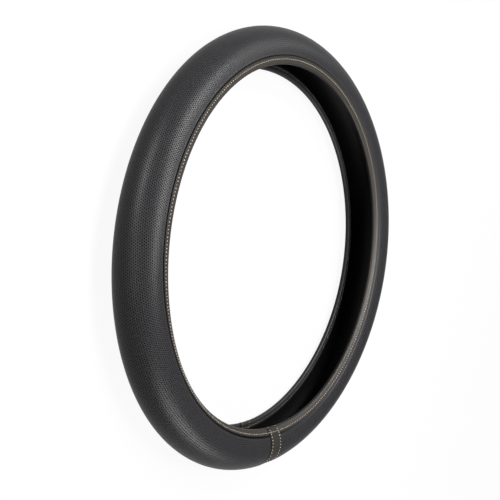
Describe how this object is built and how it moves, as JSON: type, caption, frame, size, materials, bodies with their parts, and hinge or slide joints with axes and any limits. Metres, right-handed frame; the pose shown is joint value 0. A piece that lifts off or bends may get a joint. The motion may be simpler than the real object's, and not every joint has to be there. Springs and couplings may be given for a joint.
{
  "type": "steering wheel cover",
  "caption": "Ring-shaped cover of C section for a steering wheel rim: padded perforated leather over a moulded rubber lining, with topstitched hems and a joint strip.",
  "frame": {"origin": "centre of the ring, on the surface that the cover's back lies on", "axes": "+Z along the ring's axis, out of the front face; -Y from the centre to the joint strip; +X to the right seen from the front with the joint at the bottom"},
  "size_m": [0.39, 0.3905, 0.0446],
  "materials": {
    "perforated_leather": "black perforated faux leather with a fine matt grain",
    "strip_leather": "black faux leather with a fine matt grain, not perforated",
    "lining_rubber": "smooth moulded black rubber",
    "sewing_thread": "twisted beige polyester thread"
  },
  "bodies": {
    "root": {"leather_panel": "perforated_leather", "joint_strip": "strip_leather", "rubber_lining": "lining_rubber", "front_topstitch": "sewing_thread", "back_topstitch": "sewing_thread", "joint_stitch_right": "sewing_thread", "joint_stitch_left": "sewing_thread"}
  },
  "joints": []
}
